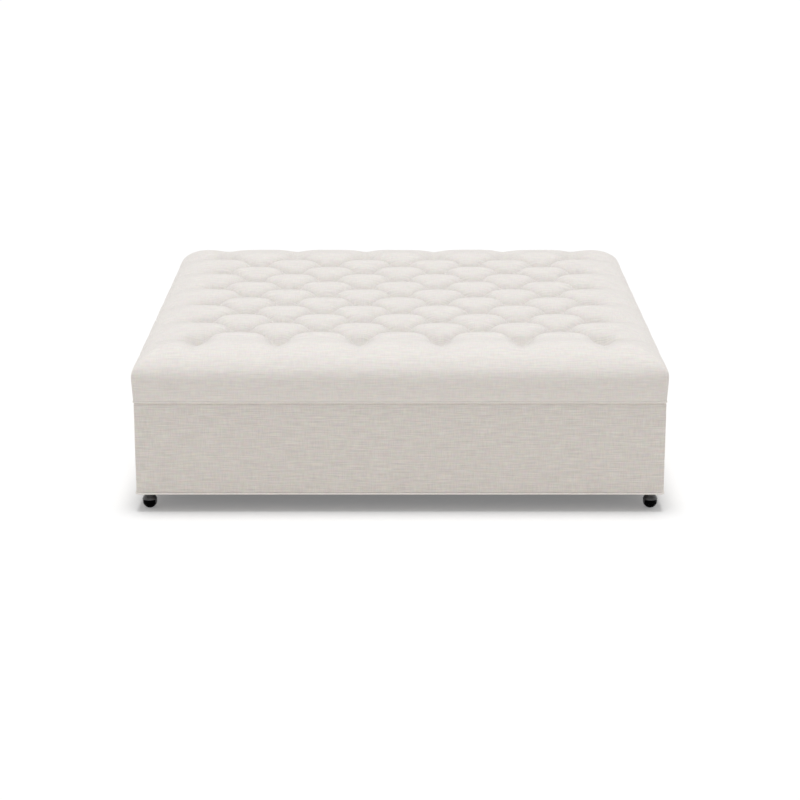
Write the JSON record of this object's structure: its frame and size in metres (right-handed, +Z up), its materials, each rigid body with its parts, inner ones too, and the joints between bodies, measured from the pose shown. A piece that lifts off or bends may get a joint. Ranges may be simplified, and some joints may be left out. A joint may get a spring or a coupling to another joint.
{
  "type": "ottoman coffee table",
  "caption": "Square upholstered ottoman coffee table with a deep diamond-tufted linen top, straight fabric sides with self piping, and hooded ball casters.",
  "frame": {"origin": "on the floor under the middle of the table", "axes": "+Z up, -Y to the front that the picture shows, +X to the right seen from the front"},
  "size_m": [1.384, 1.384, 0.438],
  "materials": {
    "tufted_linen": "light linen weave, deep tufted",
    "body_linen": "light linen weave, pulled tight",
    "welt_linen": "light linen over piping cord",
    "foam": "open-cell cushion foam",
    "wadding": "polyester wadding",
    "dust_cloth": "thin black spun cloth",
    "twine": "waxed tufting twine",
    "rail_timber": "planed, unfinished",
    "block_timber": "sawn, unfinished",
    "deck_ply": "plywood, unfinished",
    "washer_plastic": "moulded",
    "screw_steel": "zinc plated",
    "plate_steel": "black powder coat",
    "pin_steel": "bright turned",
    "hood_plastic": "moulded, dark grey, glossy",
    "ball_plastic": "moulded, black"
  },
  "bodies": {
    "root": {"tufted_top": "tufted_linen", "foam_slab": "foam", "deck": "deck_ply", "tuft_ties": "twine", "tuft_washers": "washer_plastic", "deck_screws": "screw_steel", "frame_screws": "screw_steel", "caster_screws": "screw_steel", "staples": "screw_steel", "dust_cover": "dust_cloth", "left_beam": "rail_timber", "right_beam": "rail_timber", "front_rail": "rail_timber", "front_padding": "wadding", "front_panel": "body_linen", "upper_welt_front": "welt_linen", "lower_welt_front": "welt_linen", "back_rail": "rail_timber", "back_padding": "wadding", "back_panel": "body_linen", "upper_welt_back": "welt_linen", "lower_welt_back": "welt_linen", "left_rail": "rail_timber", "left_padding": "wadding", "left_panel": "body_linen", "upper_welt_left": "welt_linen", "lower_welt_left": "welt_linen", "right_rail": "rail_timber", "right_padding": "wadding", "right_panel": "body_linen", "upper_welt_right": "welt_linen", "lower_welt_right": "welt_linen", "corner_block_front_left": "block_timber", "caster_plate_front_left": "plate_steel", "kingpin_front_left": "pin_steel", "corner_block_front_right": "block_timber", "caster_plate_front_right": "plate_steel", "kingpin_front_right": "pin_steel", "corner_block_back_left": "block_timber", "caster_plate_back_left": "plate_steel", "kingpin_back_left": "pin_steel", "corner_block_back_right": "block_timber", "caster_plate_back_right": "plate_steel", "kingpin_back_right": "pin_steel"},
    "caster_front_left": {"caster_hood_front_left": "hood_plastic", "caster_axle_front_left": "pin_steel"},
    "wheel_front_left": {"ball_wheel_front_left": "ball_plastic"},
    "caster_front_right": {"caster_hood_front_right": "hood_plastic", "caster_axle_front_right": "pin_steel"},
    "wheel_front_right": {"ball_wheel_front_right": "ball_plastic"},
    "caster_back_left": {"caster_hood_back_left": "hood_plastic", "caster_axle_back_left": "pin_steel"},
    "wheel_back_left": {"ball_wheel_back_left": "ball_plastic"},
    "caster_back_right": {"caster_hood_back_right": "hood_plastic", "caster_axle_back_right": "pin_steel"},
    "wheel_back_right": {"ball_wheel_back_right": "ball_plastic"}
  },
  "joints": [
    {"name": "swivel_front_left", "type": "hinge", "parent": "root", "child": "caster_front_left", "pos_m": [-0.655, -0.655, 0.045], "axis": [0, 0, 1], "continuous": true},
    {"name": "roll_front_left", "type": "hinge", "parent": "caster_front_left", "child": "wheel_front_left", "pos_m": [-0.655, -0.648, 0.01825], "axis": [1, 0, 0], "continuous": true},
    {"name": "swivel_front_right", "type": "hinge", "parent": "root", "child": "caster_front_right", "pos_m": [0.655, -0.655, 0.045], "axis": [0, 0, 1], "continuous": true},
    {"name": "roll_front_right", "type": "hinge", "parent": "caster_front_right", "child": "wheel_front_right", "pos_m": [0.655, -0.648, 0.01825], "axis": [1, 0, 0], "continuous": true},
    {"name": "swivel_back_left", "type": "hinge", "parent": "root", "child": "caster_back_left", "pos_m": [-0.655, 0.655, 0.045], "axis": [0, 0, 1], "continuous": true},
    {"name": "roll_back_left", "type": "hinge", "parent": "caster_back_left", "child": "wheel_back_left", "pos_m": [-0.655, 0.662, 0.01825], "axis": [1, 0, 0], "continuous": true},
    {"name": "swivel_back_right", "type": "hinge", "parent": "root", "child": "caster_back_right", "pos_m": [0.655, 0.655, 0.045], "axis": [0, 0, 1], "continuous": true},
    {"name": "roll_back_right", "type": "hinge", "parent": "caster_back_right", "child": "wheel_back_right", "pos_m": [0.655, 0.662, 0.01825], "axis": [1, 0, 0], "continuous": true}
  ]
}
